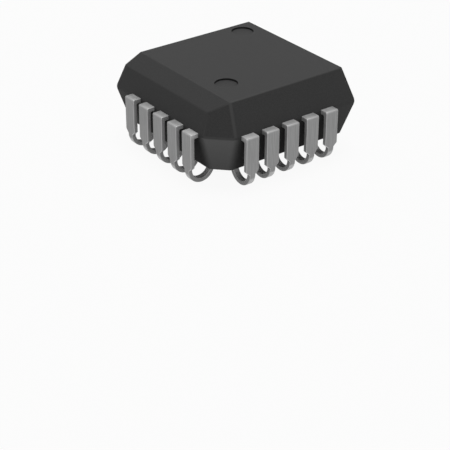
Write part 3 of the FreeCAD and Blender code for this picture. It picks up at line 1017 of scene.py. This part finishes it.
class CHIP_OT_bend_leads(bpy.types.Operator):
    """Bend the twenty J-leads"""

    bl_idname = "chip.bend_leads"
    bl_label = "Bend the leads"

    def execute(self, context):
        settings = context.scene.chip_leads
        sizes = read_sizes(settings)
        sizes["body_half"] = context.scene.chip_body.width / MM / 2
        tin = tin_material(settings)
        for index in range(LEADS_PER_SIDE * SIDES):
            node = f"lead_{index + 1:02d}"
            side, position = lead_spot(index)
            bm = bend_strip(sizes, position)
            soften_strip(bm, sizes, node in BESIDE_CUT)
            map_strip(bm, sizes, index)
            turn = Matrix.Rotation(math.radians(90 * side), 4, "Z")
            slide = Matrix.Translation((0, sizes["pitch"] * position, 0))
            bmesh.ops.transform(bm, matrix=turn @ slide, verts=bm.verts[:])
            piece = finish_mesh(bm, f"J_{node}", tin)
            hand_over(piece, node)
        return {"FINISHED"}


# Pieces inside the compound


class CHIP_OT_finish_inside(bpy.types.Operator):
    """Finish the paddle, adhesive, die and bond wires"""

    bl_idname = "chip.finish_inside"
    bl_label = "Finish the inner pieces"

    def execute(self, context):
        settings = context.scene.chip_inside
        finishes = {
            "die_paddle": hidden_finish("bare_leadframe", settings.copper, COPPER_SURFACE),
            "die_attach": hidden_finish("die_adhesive", settings.adhesive, ADHESIVE_SURFACE),
            "silicon_die": hidden_finish("silicon", settings.silicon, SILICON_SURFACE),
            "bond_wire": hidden_finish("gold_wire", settings.gold, GOLD_SURFACE),
        }
        for name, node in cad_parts.items():
            for start, material in finishes.items():
                if name.startswith(start):
                    for slot in node.material_slots:
                        slot.material = material
        return {"FINISHED"}


# Stage


def white_to_camera(tree):
    """A value of 1 on rays that show the background: from the camera, a gloss or a glass."""
    path = add_node(tree, "ShaderNodeLightPath")
    seen = path.outputs["Is Camera Ray"]
    for name in ("Is Glossy Ray", "Is Transmission Ray"):
        seen = combine(tree, "MAXIMUM", seen, path.outputs[name])
    return seen


def blend_shaders(tree, mask, first, second):
    """A shader that gives way to another where the mask is 1."""
    blend = add_node(tree, "ShaderNodeMixShader")
    for socket, value in zip(blend.inputs, (mask, first, second)):
        tree.links.new(value, socket)
    return blend.outputs["Shader"]


def floor_material(settings):
    """A matte floor that the camera sees as nearly plain white, with the part's shadow."""
    material, tree, shader = new_material("pale_floor")
    set_inputs(shader, Base_Color=settings.floor, Roughness=1.0, Specular_IOR_Level=0.0)
    glow = add_node(tree, "ShaderNodeEmission").outputs["Emission"]
    lift = ramp(tree, white_to_camera(tree), 0, 1, 0, settings.lift, "LINEAR")
    above = blend_shaders(tree, lift, shader.outputs["BSDF"], glow)

    # Views from below see through the floor
    below = add_node(tree, "ShaderNodeNewGeometry").outputs["Backfacing"]
    clear = add_node(tree, "ShaderNodeBsdfTransparent").outputs["BSDF"]
    surface = blend_shaders(tree, below, above, clear)
    tree.links.new(surface, tree.nodes["Material Output"].inputs["Surface"])
    return material


def lay_floor(settings):
    """A round floor under the part."""
    bm = bmesh.new()
    radius = settings.floor_radius / MM
    bmesh.ops.create_circle(bm, cap_ends=True, segments=FLOOR_STEPS, radius=radius)
    floor = finish_mesh(bm, "floor", floor_material(settings))


def light_sky(settings):
    """A plain sky of even light, seen as white."""
    world = bpy.data.worlds.new("plain_sky")
    bpy.context.scene.world = world
    world.use_nodes = True
    tree = world.node_tree
    sky = tree.nodes["Background"]
    set_inputs(sky, Color=(1, 1, 1, 1))
    level = ramp(tree, white_to_camera(tree), 0, 1, settings.sky, 1, "LINEAR")
    tree.links.new(level, sky.inputs["Strength"])


def hang_lamp(name, watts, size, spot):
    """A square lamp that faces the part."""
    lamp = bpy.data.lights.new(name, "AREA")
    lamp.energy = watts
    lamp.size = size
    holder = bpy.data.objects.new(name, lamp)
    holder.location = spot
    holder.rotation_euler = spot.to_track_quat("Z", "Y").to_euler()
    bpy.context.scene.collection.objects.link(holder)


def place_camera(settings):
    """A camera at the photograph's viewing angle."""
    data = bpy.data.cameras.new("camera")
    data.lens = settings.lens
    data.clip_start = VIEW_NEAR * MM
    data.clip_end = VIEW_FAR * MM
    camera = bpy.data.objects.new("camera", data)
    level = Euler((math.pi / 2 - settings.elevation, 0, settings.azimuth)).to_matrix()
    turn = level @ Matrix.Rotation(settings.roll, 3, "Z")
    camera.matrix_world = Matrix.Translation(settings.camera_place) @ turn.to_4x4()
    bpy.context.scene.collection.objects.link(camera)
    bpy.context.scene.camera = camera


class CHIP_OT_set_stage(bpy.types.Operator):
    """Set up the camera, floor, sky and lamps"""

    bl_idname = "chip.set_stage"
    bl_label = "Set the stage"

    def execute(self, context):
        settings = context.scene.chip_stage
        context.scene.view_settings.view_transform = "Standard"
        place_camera(settings)
        lay_floor(settings)
        light_sky(settings)
        hang_lamp("key_lamp", settings.key, settings.lamp_size, settings.key_place)
        hang_lamp("fill_lamp", settings.fill, settings.lamp_size, settings.fill_place)
        return {"FINISHED"}


class CHIP_PT_carrier(bpy.types.Panel):
    """The settings and steps of the chip carrier"""

    bl_idname = "CHIP_PT_carrier"
    bl_label = "Chip carrier"
    bl_space_type = "VIEW_3D"
    bl_region_type = "UI"
    bl_category = "Chip carrier"

    def draw(self, context):
        scene = context.scene
        for group, step in (
            (scene.chip_body, CHIP_OT_mould_body),
            (scene.chip_leads, CHIP_OT_bend_leads),
            (scene.chip_inside, CHIP_OT_finish_inside),
            (scene.chip_stage, CHIP_OT_set_stage),
        ):
            box = self.layout.box()
            for name in group.__annotations__:
                box.prop(group, name)
            box.operator(step.bl_idname)


CLASSES = (
    BodySettings,
    LeadSettings,
    InsideSettings,
    StageSettings,
    CHIP_OT_mould_body,
    CHIP_OT_bend_leads,
    CHIP_OT_finish_inside,
    CHIP_OT_set_stage,
    CHIP_PT_carrier,
)


def register():
    for item in CLASSES:
        bpy.utils.register_class(item)
    bpy.types.Scene.chip_body = bpy.props.PointerProperty(type=BodySettings)
    bpy.types.Scene.chip_leads = bpy.props.PointerProperty(type=LeadSettings)
    bpy.types.Scene.chip_inside = bpy.props.PointerProperty(type=InsideSettings)
    bpy.types.Scene.chip_stage = bpy.props.PointerProperty(type=StageSettings)


def unregister():
    del bpy.types.Scene.chip_stage
    del bpy.types.Scene.chip_inside
    del bpy.types.Scene.chip_leads
    del bpy.types.Scene.chip_body
    for item in reversed(CLASSES):
        bpy.utils.unregister_class(item)


def main():
    register()
    bpy.ops.chip.mould_body()
    bpy.ops.chip.bend_leads()
    bpy.ops.chip.finish_inside()
    bpy.ops.chip.set_stage()


if __name__ == "__main__":
    main()
